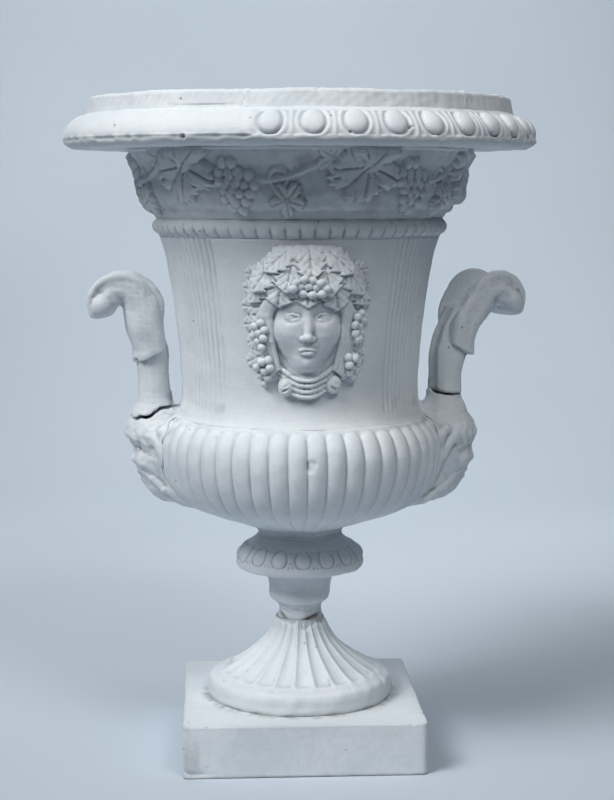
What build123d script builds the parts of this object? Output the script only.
"""A plaster campana urn: cast sections stacked on a tie rod, with dowelled handles and applied masks.

Millimetres, +Z up. The origin is the centre of the plinth's underside. The front mask faces -Y and
the handles stand on -X (left) and +X (right).
"""
import os
from math import cos, pi, radians, sin

from build123d import *

# Joints between castings
slip = 0.3                    # gap filled by plaster slip between curved faces
wall = 13.0                   # cast wall of the vessel
lap_height = 8.0              # overlap of one vessel section inside the next

# Plinth
plinth_side = 218.0
plinth_height = 47.5
plinth_edge = 3.0
rod_pocket_radius = 20.0
rod_pocket_depth = 24.0

# Foot
foot_disc_radius = 86.0
foot_disc_height = 18.0
foot_disc_edge = 4.0
foot_flare_height = 55.5
foot_top_radius = 28.0
foot_spigot_radius = 40.0
foot_spigot_depth = 10.0
foot_flutes = 24
foot_flute_depth = 2.6
foot_fillet_share = 0.18      # part of each flute's pitch left as a flat fillet
foot_flute_start = 0.16       # part of the flare's height where the flutes reach full depth
foot_flute_trace = 0.2        # depth of the flutes' rounded ends on the disc
foot_hollow = 2.6             # sharpness of the flare's hollow curve

# Stem
stem_height = 47.0
stem_radius = 28.5
stem_top_radius = 31.0
stem_core_radius = 22.0
stem_core_length = 22.0       # bare core between the foot and the stem's full diameter
stem_core_depth = 14.0        # core inside the foot's socket
stem_tenon_radius = 20.0
stem_tenon_depth = 9.0

# Knop
knop_height = 34.0
knop_radius = 60.0
knop_neck_radius = 38.8
knop_edge_height = 8.0
knop_spigot_radius = 26.0
knop_spigot_depth = 8.0
knop_edge_taper = 1.5         # how much the flat underside draws in
knop_eggs = 16
knop_egg_half_length = 8.5
knop_egg_radius = 6.5
knop_egg_inset = 6.0
knop_egg_tilt = -35.0         # lean of the eggs towards the axis, degrees

# Bowl
bowl_height = 104.5
bowl_belly_radius = 133.0
bowl_belly_height = 83.0
bowl_shoulder_radius = 114.0
bowl_floor = 18.0
bowl_floor_radius = 26.0
gadroons = 48
gadroon_depth = 4.2

# Drum
drum_height = 170.5
drum_base_radius = 109.0
drum_waist_rise = 0.35        # part of the height where the wall starts to flare
drum_top_radius = 128.0
drum_panel_half_angle = 42.0  # plain panels front and back, degrees each side of centre
reeds_per_side = 32
reed_depth = 1.1

# Bead moulding
bead_height = 16.0
bead_ring_radius = 131.5
beads = 66
bead_radius = 5.2
bead_inset = 1.5              # beads' centres inside the fillets' edge
bead_cove = 2.0               # depth of the cove that the beads lie in

# Vine frieze
frieze_height = 61.5
frieze_base_radius = 131.0
frieze_belly_radius = 147.0
frieze_top_radius = 157.0

# Rim and collar
rim_height = 30.5
rim_radius = 213.0
rim_edge_height = 14.0
rim_seat_radius = 194.0
rim_soffit_round = 5.0
rim_eggs = 38
rim_egg_half_length = 12.5
rim_egg_radius = 9.5
rim_egg_inset = 10.0
rim_egg_tilt = -52.0          # lean of the eggs towards the axis, degrees
collar_height = 15.0
collar_radius = 192.5
collar_groove = 5.0
collar_edge = 4.0
collar_taper = 2.0

# Tie rod and its fasteners
rod_radius = 5.0
rod_clearance = 0.5
rod_end = 5.0                 # thread standing past each nut
nut_across_flats = 17.0
nut_height = 8.0
washer_radius = 15.0
washer_thickness = 2.5
thread_clearance = 0.1

# Handles
shaft_radius = 134.0          # the shaft's centre from the urn's axis
shaft_thickness = 30.0
shaft_width = 32.0
shaft_foot_depth = 8.0        # the flared foot's lower end below the bowl's shoulder
shaft_flare_rise = 10.0       # heights above the bowl's shoulder where the flare narrows,
shaft_round_rise = 26.0       # where the shaft is at its own size
shaft_bend_rise = 42.0        # and where it starts to lean outwards
shaft_flare = 1.25            # the flare's size there, as a share of the shaft's
shaft_in_leaf = 6.0           # length of the shaft's end inside the leaf
shaft_lean = 4.0              # lean of the shaft's end, degrees
leaf_lip_rise = 64.0          # leaf's lower lip above the bowl's shoulder
leaf_lip_shift = 5.5          # the lip's centre outside the shaft's
leaf_mid_shift = 8.5          # the leaf's centre outside the shaft's, halfway to the curl
leaf_lip_thickness = 36.5
leaf_lip_width = 40.0
leaf_mid_thickness = 39.5
leaf_thickness = 43.0         # where the leaf starts to curl over
leaf_width = 48.0
curl_notch_reach = 39.0       # the notch under the curl, outside the shaft's centre
curl_notch_rise = 104.0       # the notch above the bowl's shoulder
curl_notch_gap = 3.0
curl_tip_thickness = 22.0
curl_tip_width = 40.0
curl_start = 168.0            # bearings of the curl about its notch, degrees from straight out
curl_end = -45.0
joint_rise = {"left": 5.0, "right": 25.0}      # handle joint above the bowl's shoulder
handle_twist = {"left": 4.0, "right": 14.0}    # turn of each handle on its dowel, degrees
dowel_axis_radius = 139.0
dowel_radius = 4.0
dowel_in_handle = 34.0
dowel_in_mask = 18.0
dowel_clearance = 0.1

# Handle masks
mask_head_radius = 33.0
mask_head_half_height = 52.0
mask_head_reach = 128.0       # head's centre from the urn's axis
mask_head_drop = 22.5         # head's centre below the bowl's shoulder
mask_nose_drop = 12.0
mask_nose_half_height = 11.0
mask_nose_radius = 6.0
mask_brow_rise = 6.0
mask_brow_half_width = 22.0
mask_brow_radius = 7.0
mask_beard_half_length = 32.0
mask_beard_radius = 12.0
mask_beard_reach = 112.0
mask_beard_drop = 68.5
mask_beard_slope = 78.0       # beard's tilt from upright as it sweeps back under the bowl, degrees
mask_root_width = 50.0
mask_root_reach = 159.0
mask_web_rise = 18.0
mask_web_width = 38.0
mask_peg_radius = 10.0
mask_peg_depth = 9.0

# Front and back masks
face_half_width = 31.0
face_half_height = 45.0
face_relief = 24.0            # how far the face stands out of the drum
face_rise = 97.0              # face's centre above the drum's foot
nose_half_height = 10.0
nose_radius = 4.5
nose_inset = 1.0
nose_drop = 4.0
wreath_half_width = 51.0      # the line through the notches between the wreath's outer leaves
wreath_half_height = 57.0
wreath_leaves = 18
wreath_leaf_rise = 6.0        # how far each leaf reaches past that line
wreath_thickness = 7.0
inner_half_width = 37.0       # the same line for the inner row of leaves
inner_half_height = 46.0
inner_leaves = 14
inner_thickness = 13.0
grape_radius = 5.0
grape_stand = 9.0             # grapes' centres out of the drum
bunches = [(-42, 0), (42, 6), (-35, -32), (35, -32)]   # across and rise from the face's centre
forehead_bunch_rise = 40.0
forehead_bunch_stand = 15.0
neck_beads = 7
neck_bead_radius = 4.6
neck_bead_pitch = 7.6
neck_bead_drop = 49.0
neck_bead_sag = 5.0           # how far the row's middle hangs below its ends

# Heights of the joints, from the floor up
z_plinth = plinth_height
z_disc = z_plinth + foot_disc_height
z_foot = z_disc + foot_flare_height
z_stem = z_foot + stem_height
z_knop = z_stem + knop_height
z_bowl = z_knop + bowl_height
z_drum = z_bowl + drum_height
z_bead = z_drum + bead_height
z_frieze = z_bead + frieze_height
z_rim = z_frieze + rim_height
z_collar = z_rim + collar_height

# Values shared by neighbouring castings
rod_bore_radius = rod_radius + rod_clearance
lap = wall / 2                # thickness of a lap's tongue, half the wall
z_floor = z_knop + bowl_floor
drum_lap_radius = drum_base_radius - lap
bead_bore_radius = drum_top_radius - lap
frieze_lap_radius = frieze_top_radius - lap
collar_bore_radius = collar_radius - wall
z_pocket = rod_pocket_depth
z_rod_bottom = z_pocket - washer_thickness - nut_height - rod_end
z_rod_top = z_floor + washer_thickness + nut_height + rod_end


# Drawing helpers

def rz(radius, height):
    """A point of a turned section."""
    return (radius, 0, height)


def line(*points):
    """Straight edges through points of a turned section."""
    return Polyline(*[rz(*p) for p in points])


def curve(*points, tangents=()):
    """A smooth edge through points of a turned section."""
    ends = [rz(*t) for t in tangents]
    return Spline(*[rz(*p) for p in points], tangents=ends)


def turned(*edges):
    """The solid that a closed section in the XZ plane sweeps about the urn's axis."""
    return revolve(make_face(Curve() + list(edges)), Axis.Z)


def cylinder(radius, low, high):
    """A round solid on the urn's axis between two heights."""
    return turned(line((0, low), (radius, low), (radius, high), (0, high), (0, low)))


def polar(radius, degrees, height):
    """A point at a bearing from +X, counter-clockwise seen from above."""
    return Vector(radius * cos(radians(degrees)), radius * sin(radians(degrees)), height)


def ribbed_face(height, radius, depth, stops):
    """A level face whose edge bulges by depth between neighbouring bearings in stops."""
    ends = [polar(radius - depth, a, height) for a in stops]
    edges = []
    for i, start in enumerate(stops):
        after = stops[(i + 1) % len(stops)] + (360 if i + 1 == len(stops) else 0)
        crest = polar(radius, (start + after) / 2, height)
        edges.append(ThreePointArc(ends[i], crest, ends[(i + 1) % len(stops)]))
    return make_face(Curve() + edges)


def fluted_face(height, radius, depth, count, fillet_share):
    """A level face with hollow flutes and flat fillets between them."""
    pitch = 360 / count
    edges = []
    for i in range(count):
        left = pitch * (i + fillet_share / 2)
        right = pitch * (i + 1 - fillet_share / 2)
        beyond = pitch * (i + 1 + fillet_share / 2)
        hollow = polar(radius - depth, (left + right) / 2, height)
        edges.append(ThreePointArc(polar(radius, left, height), hollow, polar(radius, right, height)))
        edges.append(Line(polar(radius, right, height), polar(radius, beyond, height)))
    return make_face(Curve() + edges)


def egg(length, girth):
    """An egg-shaped boss: half length along Z, half girth across, centred on the origin."""
    return scale(Sphere(girth), by=(1, 1, length / girth))


def front_egg(length, girth):
    """An egg whose seam line lies on its +Y side, at the back of a front mask."""
    return Rot(0, 0, 90) * egg(length, girth)


def ring_of(shape, count, first=0.0):
    """Copies of a shape spread evenly about the urn's axis."""
    return [Rot(0, 0, first + 360 / count * i) * shape for i in range(count)]


# Pieces of the pedestal

def make_plinth():
    slab = Pos(0, 0, plinth_height / 2) * Box(plinth_side, plinth_side, plinth_height)
    upper = slab.edges().filter_by(Axis.Z) + slab.faces().sort_by(Axis.Z)[-1].edges()
    slab = fillet(upper, plinth_edge)
    socket = cylinder(foot_spigot_radius + slip, z_plinth - foot_spigot_depth, z_plinth + 1)
    pocket = cylinder(rod_pocket_radius, -1, z_pocket)
    bore = cylinder(rod_bore_radius, 0, z_plinth)
    return slab - socket - pocket - bore


def foot_radius(rise):
    """Radius of the foot's hollow-curved flare at a share of its height."""
    spread = foot_disc_radius - 2 * foot_disc_edge - foot_top_radius
    return foot_top_radius + spread * (1 - rise) ** foot_hollow


def make_foot():
    disc = cylinder(foot_disc_radius, z_plinth, z_disc)
    disc = fillet(disc.edges().sort_by(Axis.Z)[-1], foot_disc_edge)
    shares = [0, 0.06, foot_flute_start, 0.32, 0.55, 0.78, 1]
    sections = []
    for s in shares:
        depth = max(foot_flute_trace, foot_flute_depth * min(1, s / foot_flute_start))
        height = z_disc + s * foot_flare_height
        sections.append(fluted_face(height, foot_radius(s), depth, foot_flutes, foot_fillet_share))
    flare = loft(sections)
    spigot = cylinder(foot_spigot_radius, z_plinth - foot_spigot_depth, z_plinth)
    socket = cylinder(stem_core_radius + slip, z_foot - stem_core_depth, z_foot + 1)
    bore = cylinder(rod_bore_radius, z_plinth - foot_spigot_depth, z_foot)
    return disc + flare + spigot - socket - bore


def make_stem():
    z_core = z_foot + stem_core_length
    z_shoulder = z_core + (stem_radius - stem_core_radius)
    return turned(
        line(
            (rod_bore_radius, z_foot - stem_core_depth),
            (stem_core_radius, z_foot - stem_core_depth),
            (stem_core_radius, z_core),
            (stem_radius, z_shoulder),
        ),
        curve((stem_radius, z_shoulder), (stem_top_radius, z_stem), tangents=[(0, 1), (0.3, 1)]),
        line(
            (stem_top_radius, z_stem),
            (stem_tenon_radius, z_stem),
            (stem_tenon_radius, z_stem + stem_tenon_depth),
            (rod_bore_radius, z_stem + stem_tenon_depth),
            (rod_bore_radius, z_foot - stem_core_depth),
        ),
    )


def make_knop():
    z_edge = z_stem + knop_edge_height
    top = z_knop + knop_spigot_depth
    rise = z_knop - z_edge
    inner = stem_tenon_radius + slip
    z_tenon = z_stem + stem_tenon_depth
    ovolo = (knop_radius - 0.12 * (knop_radius - knop_neck_radius), z_edge + 0.35 * rise)
    cove = (knop_neck_radius + 0.24 * (knop_radius - knop_neck_radius), z_edge + 0.68 * rise)
    body = turned(
        line((inner, z_stem), (knop_radius - knop_edge_taper, z_stem), (knop_radius, z_edge)),
        curve((knop_radius, z_edge), ovolo, cove, (knop_neck_radius, z_knop)),
        line(
            (knop_neck_radius, z_knop), (knop_spigot_radius, z_knop), (knop_spigot_radius, top),
            (rod_bore_radius, top), (rod_bore_radius, z_tenon), (inner, z_tenon), (inner, z_stem),
        ),
    )
    place = Pos(knop_radius - knop_egg_inset, 0, z_edge + 0.26 * rise) * Rot(0, knop_egg_tilt, 0)
    return body + ring_of(place * egg(knop_egg_half_length, knop_egg_radius), knop_eggs)


# Pieces of the vessel

def bowl_crest():
    """The line that the gadroons' crests follow, from the neck over the belly to the shoulder."""
    z_belly = z_knop + bowl_belly_height
    spread = bowl_belly_radius - knop_neck_radius
    under = (knop_neck_radius + 0.35 * spread, z_knop + 0.19 * bowl_belly_height)
    flank = (knop_neck_radius + 0.77 * spread, z_knop + 0.40 * bowl_belly_height)
    step_in = bowl_belly_radius - bowl_shoulder_radius
    over = (bowl_belly_radius - 0.35 * step_in, z_belly + 0.72 * (z_bowl - z_belly))
    return curve(
        (knop_neck_radius, z_knop), under, flank, (bowl_belly_radius, z_belly), over,
        (bowl_shoulder_radius, z_bowl),
    )


def bowl_cavity():
    """The hollow inside the bowl, from its floor to the drum's bore."""
    z_belly = z_knop + bowl_belly_height
    belly = bowl_belly_radius - wall - gadroon_depth
    mouth = drum_base_radius - wall
    return turned(
        line((0, z_floor), (bowl_floor_radius, z_floor)),
        curve(
            (bowl_floor_radius, z_floor),
            (bowl_floor_radius + 0.72 * (belly - bowl_floor_radius), z_floor + 0.36 * (z_belly - z_floor)),
            (belly, z_belly),
            (mouth, z_bowl),
            tangents=[(1, 0.1), (-0.6, 1)],
        ),
        line((mouth, z_bowl), (0, z_bowl), (0, z_floor)),
    )


def make_bowl():
    stops = [360 / gadroons * (i + 0.5) for i in range(gadroons)]
    crest = bowl_crest()
    shares = [0, 0.08, 0.2, 0.34, 0.48, 0.62, 0.74, 0.84, 0.91, 0.96, 1]
    sections = []
    for s in shares:
        point = crest @ s
        fade = min(1, (1 - s) / 0.12 + 0.12)
        depth = gadroon_depth * fade * point.X / bowl_belly_radius
        sections.append(ribbed_face(point.Z, point.X, depth, stops))
    shell = loft(sections) - bowl_cavity()
    tongue = turned(line(
        (drum_base_radius - wall, z_bowl - lap), (drum_lap_radius - slip, z_bowl - lap),
        (drum_lap_radius - slip, z_bowl + lap_height), (drum_base_radius - wall, z_bowl + lap_height),
        (drum_base_radius - wall, z_bowl - lap),
    ))
    seat = cylinder(knop_spigot_radius + slip, z_knop - 1, z_knop + knop_spigot_depth)
    bore = cylinder(rod_bore_radius, z_knop, z_floor + 1)
    pegs = [side * mask_peg(slip) for side in (Rot(0, 0, 180), Rot(0, 0, 0))]
    return shell + tongue - seat - bore - pegs


def drum_profile(offset=0.0):
    """The drum's flaring outer line, moved out by offset."""
    base = drum_base_radius + offset
    top = drum_top_radius + offset
    waist = (base + 0.03 * (top - base), z_bowl + drum_waist_rise * drum_height)
    flank = (base + 0.47 * (top - base), z_bowl + 0.74 * drum_height)
    return curve((base, z_bowl), waist, flank, (top, z_drum), tangents=[(0, 1), (0.55, 1)])


def drum_core(offset=0.0):
    """A solid that fills the drum out to its outer line plus offset."""
    edge = drum_profile(offset)
    base = drum_base_radius + offset
    top = drum_top_radius + offset
    return turned(edge, line((top, z_drum), (0, z_drum), (0, z_bowl), (base, z_bowl)))


def reed_stops():
    """Bearings of the reeds' edges: two reeded sides with plain panels between them."""
    span = 180 - 2 * drum_panel_half_angle
    pitch = span / reeds_per_side
    right = [-span / 2 + pitch * i for i in range(reeds_per_side + 1)]
    return right + [180 + a for a in right]


def make_drum():
    edge = drum_profile()
    stops = reed_stops()
    drum_shares = (0, 0.1, 0.22, 0.36, 0.5, 0.64, 0.78, 0.9, 1)
    sections = [ribbed_face((edge @ s).Z, (edge @ s).X, reed_depth, stops) for s in drum_shares]
    core = loft(sections)
    bore = drum_core(-wall)
    tongue = turned(line(
        (drum_top_radius - wall, z_drum - lap), (bead_bore_radius - slip, z_drum - lap),
        (bead_bore_radius - slip, z_bead + lap_height), (drum_top_radius - wall, z_bead + lap_height),
        (drum_top_radius - wall, z_drum - lap),
    ))
    rebate = cylinder(drum_lap_radius, z_bowl, z_bowl + lap_height)
    return core - bore - rebate + tongue


def make_bead_moulding():
    mid = (z_drum + z_bead) / 2
    fillet_height = bead_height / 2 - bead_radius
    low = z_drum + fillet_height
    high = z_bead - fillet_height
    ring = turned(line(
        (bead_bore_radius, z_drum), (bead_ring_radius, z_drum), (bead_ring_radius, low),
        (bead_ring_radius - bead_cove, low), (bead_ring_radius - bead_cove, high),
        (bead_ring_radius, high), (bead_ring_radius, z_bead), (bead_bore_radius, z_bead),
        (bead_bore_radius, z_drum),
    ))
    return ring + ring_of(Pos(bead_ring_radius - bead_inset, 0, mid) * Sphere(bead_radius), beads)


def frieze_edge(offset):
    """The frieze's outer line, moved out by offset, up to the rim's soffit."""
    swell = frieze_belly_radius - frieze_base_radius
    return curve(
        (frieze_base_radius + offset, z_bead),
        (frieze_base_radius + 0.75 * swell + offset, z_bead + 0.25 * frieze_height),
        (frieze_belly_radius + offset, z_bead + 0.52 * frieze_height),
        (frieze_top_radius + offset, z_frieze),
    )


def make_vine_frieze():
    outer = frieze_edge(0)
    inner = frieze_edge(-wall)
    low = rz(frieze_base_radius - wall, z_bead)
    high = rz(frieze_top_radius - wall, z_frieze)
    band = turned(
        outer, inner, Line(low, rz(frieze_base_radius, z_bead)), Line(high, rz(frieze_top_radius, z_frieze))
    )
    rebate = cylinder(bead_bore_radius, z_bead, z_bead + lap_height)
    tongue = turned(line(
        (frieze_top_radius - wall, z_frieze - lap), (frieze_lap_radius - slip, z_frieze - lap),
        (frieze_lap_radius - slip, z_frieze + lap_height), (frieze_top_radius - wall, z_frieze + lap_height),
        (frieze_top_radius - wall, z_frieze - lap),
    ))
    return band - rebate + tongue


def make_rim():
    z_edge = z_frieze + rim_edge_height
    inner = frieze_top_radius - wall
    soffit = rim_radius - rim_soffit_round
    ovolo = (rim_seat_radius + 0.80 * (rim_radius - rim_seat_radius), z_edge + 0.55 * (z_rim - z_edge))
    body = turned(
        line((inner, z_frieze), (soffit, z_frieze)),
        ThreePointArc(
            rz(soffit, z_frieze),
            rz(soffit + rim_soffit_round * sin(pi / 4), z_frieze + rim_soffit_round * (1 - cos(pi / 4))),
            rz(rim_radius, z_frieze + rim_soffit_round),
        ),
        line((rim_radius, z_frieze + rim_soffit_round), (rim_radius, z_edge)),
        curve((rim_radius, z_edge), ovolo, (rim_seat_radius, z_rim), tangents=[(0, 1), (-1, 0.25)]),
        line((rim_seat_radius, z_rim), (collar_bore_radius, z_rim)),
        curve((collar_bore_radius, z_rim), (inner, z_frieze + lap_height), tangents=[(-0.2, -1), (-0.9, -1)]),
        line((inner, z_frieze + lap_height), (inner, z_frieze)),
    )
    rebate = cylinder(frieze_lap_radius, z_frieze, z_frieze + lap_height)
    groove = turned(line(
        (collar_bore_radius - 1, z_rim - collar_groove), (collar_radius + slip, z_rim - collar_groove),
        (collar_radius + slip, z_rim + 1), (collar_bore_radius - 1, z_rim + 1),
        (collar_bore_radius - 1, z_rim - collar_groove),
    ))
    place = Pos(rim_radius - rim_egg_inset, 0, z_edge + 0.36 * (z_rim - z_edge)) * Rot(0, rim_egg_tilt, 0)
    bosses = ring_of(place * egg(rim_egg_half_length, rim_egg_radius), rim_eggs, 180 / rim_eggs)
    return body + bosses - rebate - groove


def make_rim_collar():
    ring = turned(line(
        (collar_bore_radius, z_rim - collar_groove), (collar_radius, z_rim - collar_groove),
        (collar_radius, z_rim), (collar_radius - collar_taper, z_collar), (collar_bore_radius, z_collar),
        (collar_bore_radius, z_rim - collar_groove),
    ))
    return fillet(ring.faces().sort_by(Axis.Z)[-1].edges(), collar_edge)


# Handles, drawn on the +X side and turned to their own side

def mask_peg(gap):
    """The peg on a handle mask's back, or with a gap the hole for it in the bowl's wall."""
    reach = bowl_belly_radius - mask_peg_depth - gap
    length = mask_head_reach + mask_head_radius / 2 - reach
    return Pos(reach, 0, z_bowl - mask_head_drop) * Rot(0, 90, 0) * Cylinder(
        mask_peg_radius + gap, length, align=(Align.CENTER, Align.CENTER, Align.MIN)
    )


def oval(radius, height, thickness, width, lean=0.0):
    """An oval section across a handle's centreline, which leans outwards by lean degrees there."""
    return Pos(radius, 0, height) * Rot(0, lean, 0) * Ellipse(thickness / 2, width / 2)


def handle_shaft():
    """The handle's round shaft with its flared foot, from inside the mask's root up into the leaf."""
    lip = z_bowl + leaf_lip_rise
    thick = shaft_thickness
    wide = shaft_width
    foot_thickness = mask_root_reach - shaft_radius + thick
    foot_centre = mask_root_reach - foot_thickness / 2
    return loft([
        oval(foot_centre, z_bowl - shaft_foot_depth, foot_thickness, mask_root_width),
        oval(shaft_radius, z_bowl + shaft_flare_rise, shaft_flare * thick, shaft_flare * wide),
        oval(shaft_radius, z_bowl + shaft_round_rise, thick, wide),
        oval(shaft_radius, z_bowl + shaft_bend_rise, thick, wide),
        oval(shaft_radius + leaf_lip_shift / 2, lip + shaft_in_leaf, thick, wide, shaft_lean),
    ])


def handle_leaf():
    """The leaf that wraps the shaft's top and curls over outwards round a notch."""
    lip = z_bowl + leaf_lip_rise
    notch = (shaft_radius + curl_notch_reach, z_bowl + curl_notch_rise)
    sections = [
        oval(shaft_radius + leaf_lip_shift, lip, leaf_lip_thickness, leaf_lip_width, shaft_lean),
        oval(shaft_radius + leaf_mid_shift, (lip + notch[1]) / 2, leaf_mid_thickness, leaf_width, shaft_lean),
    ]
    steps = 7
    for i in range(steps + 1):
        share = i / steps
        bearing = curl_start + (curl_end - curl_start) * share
        thickness = leaf_thickness + (curl_tip_thickness - leaf_thickness) * share ** 0.8
        width = leaf_width + (curl_tip_width - leaf_width) * share ** 2
        arm = curl_notch_gap + thickness / 2
        sections.append(oval(
            notch[0] + arm * cos(radians(bearing)),
            notch[1] + arm * sin(radians(bearing)),
            thickness, width, 180 - bearing,
        ))
    return loft(sections)


def joint_height(side):
    return z_bowl + joint_rise[side]


def turn_on_dowel(side, shape):
    """Turns a handle about its dowel so that its front edge moves outwards."""
    sign = 1 if side == "right" else -1
    return shape.rotate(Axis((dowel_axis_radius, 0, 0), (0, 0, 1)), sign * handle_twist[side])


def to_side(side, shape):
    return shape if side == "right" else Rot(0, 0, 180) * shape


def dowel(side, gap=0.0):
    """The iron dowel that holds a handle on its mask, or with a gap the hole for it."""
    low = joint_height(side) - dowel_in_mask
    high = joint_height(side) + dowel_in_handle
    return Pos(dowel_axis_radius, 0, low - gap) * Cylinder(
        dowel_radius + gap, high - low + 2 * gap, align=(Align.CENTER, Align.CENTER, Align.MIN)
    )


def above(height):
    """A block that holds everything over a height."""
    size = 4 * rim_radius
    return Pos(0, 0, height + size / 2) * Box(size, size, size)


def make_handle(side):
    shaft = handle_shaft() & above(joint_height(side))
    return to_side(side, turn_on_dowel(side, shaft + handle_leaf()) - dowel(side, dowel_clearance))


def bowl_envelope(offset):
    """A plain solid round the gadroons' crests, moved out by offset."""
    crest = bowl_crest()
    points = [crest @ s for s in (0, 0.1, 0.2, 0.34, 0.48, 0.62, 0.74, 0.84, 0.92, 1)]
    top = bowl_shoulder_radius + offset
    base = knop_neck_radius + offset
    return turned(
        curve(*[(p.X + offset, p.Z) for p in points]),
        line((top, z_bowl), (0, z_bowl), (0, z_knop), (base, z_knop)),
    )


def make_handle_mask(side):
    centre = z_bowl - mask_head_drop
    front = mask_head_reach + mask_head_radius
    head = Pos(mask_head_reach, 0, centre) * egg(mask_head_half_height, mask_head_radius)
    nose = Pos(front - mask_nose_radius, 0, centre - mask_nose_drop) * egg(
        mask_nose_half_height, mask_nose_radius
    )
    brow = Pos(front - mask_brow_radius, 0, centre + mask_brow_rise) * Rot(90, 0, 0) * egg(
        mask_brow_half_width, mask_brow_radius
    )
    beard = Pos(mask_beard_reach, 0, z_bowl - mask_beard_drop) * Rot(0, mask_beard_slope, 0) * egg(
        mask_beard_half_length, mask_beard_radius
    )
    web = Pos((drum_base_radius + shaft_radius) / 2, 0, z_bowl) * Box(
        shaft_radius - drum_base_radius + wall, mask_web_width, 2 * mask_web_rise
    )
    body = head + nose + brow + beard + handle_shaft() + web - above(joint_height(side))
    body = body - drum_core(slip) - bowl_envelope(slip) + mask_peg(0) - dowel(side, dowel_clearance)
    return to_side(side, body.solids().sort_by(SortBy.VOLUME)[-1])


# Front and back masks, drawn on the -Y side

def on_drum(across, rise, stand):
    """A place over the front panel: across to the right, rise above the drum's foot, stand out of it."""
    radius = (drum_profile() @ (rise / drum_height)).X + stand
    return Rot(0, 0, across / radius * 180 / pi) * Pos(0, -radius, z_bowl + rise)


def grape_bunch(across, rise, stand):
    """Six grapes round a raised seventh."""
    spread = 1.5 * grape_radius
    ring = [
        on_drum(across + spread * cos(radians(60 * i)), rise + spread * sin(radians(60 * i)), stand)
        * Sphere(grape_radius)
        for i in range(6)
    ]
    return ring + [on_drum(across, rise, stand + 0.6 * grape_radius) * Sphere(grape_radius)]


def leaf_row(half_width, half_height, count, thickness):
    """A row of the wreath's leaves: a scalloped oval laid round the drum."""
    def outline(turn, reach):
        bearing = radians(360 / count * turn)
        rise = (half_height + reach) * sin(bearing)
        return ((half_width + reach) * cos(bearing), 0, z_bowl + face_rise + rise)

    leaves = [
        ThreePointArc(outline(i, 0), outline(i + 0.5, wreath_leaf_rise), outline(i + 1, 0))
        for i in range(count)
    ]
    block = extrude(make_face(Curve() + leaves), amount=2 * drum_top_radius, dir=(0, -1, 0))
    return block & drum_core(thickness)


def make_front_mask():
    place = on_drum(0, face_rise, 0)
    face = place * Pos(0, face_half_width - face_relief, 0) * front_egg(face_half_height, face_half_width)
    nose = place * Pos(0, nose_inset - face_relief, -nose_drop) * front_egg(nose_half_height, nose_radius)
    grapes = grape_bunch(0, face_rise + forehead_bunch_rise, forehead_bunch_stand)
    for across, rise in bunches:
        grapes = grapes + grape_bunch(across, face_rise + rise, grape_stand)
    wreath = leaf_row(wreath_half_width, wreath_half_height, wreath_leaves, wreath_thickness)
    wreath = wreath + leaf_row(inner_half_width, inner_half_height, inner_leaves, inner_thickness)
    necklace = []
    for i in range(neck_beads):
        step = i - (neck_beads - 1) / 2
        hang = neck_bead_sag * (2 * step / (neck_beads - 1)) ** 2 - neck_bead_drop
        place = on_drum(neck_bead_pitch * step, face_rise + hang, wreath_thickness)
        necklace.append(place * Sphere(neck_bead_radius))
    relief = wreath + face - drum_core(slip) + nose + grapes + necklace
    return relief.solid()


# Tie rod and fasteners

def make_tie_rod():
    return cylinder(rod_radius, z_rod_bottom, z_rod_top)


def hex_nut(low):
    body = Pos(0, 0, low) * extrude(RegularPolygon(nut_across_flats / 2, 6, major_radius=False), nut_height)
    return body - cylinder(rod_radius + thread_clearance, low - 1, low + nut_height + 1)


def washer(low):
    return cylinder(washer_radius, low, low + washer_thickness) - cylinder(
        rod_bore_radius, low - 1, low + washer_thickness + 1
    )


def nodes():
    """Every piece of the urn under its own name."""
    front = make_front_mask()
    return {
        "plinth": make_plinth(),
        "foot": make_foot(),
        "stem": make_stem(),
        "knop": make_knop(),
        "bowl": make_bowl(),
        "drum": make_drum(),
        "bead_moulding": make_bead_moulding(),
        "vine_frieze": make_vine_frieze(),
        "rim": make_rim(),
        "rim_collar": make_rim_collar(),
        "front_mask": front,
        "back_mask": Rot(0, 0, 180) * front,
        "left_handle_mask": make_handle_mask("left"),
        "right_handle_mask": make_handle_mask("right"),
        "left_handle": make_handle("left"),
        "right_handle": make_handle("right"),
        "left_handle_dowel": to_side("left", dowel("left")),
        "right_handle_dowel": to_side("right", dowel("right")),
        "tie_rod": make_tie_rod(),
        "tie_rod_nuts": hex_nut(z_floor + washer_thickness) + hex_nut(z_rod_bottom + rod_end),
        "tie_rod_washers": washer(z_floor) + washer(z_pocket - washer_thickness),
    }


def main():
    os.makedirs("parts", exist_ok=True)
    for name, shape in nodes().items():
        export_step(shape, f"parts/{name}.step")
        print(name, round(shape.volume), "mm3")


if __name__ == "__main__":
    main()
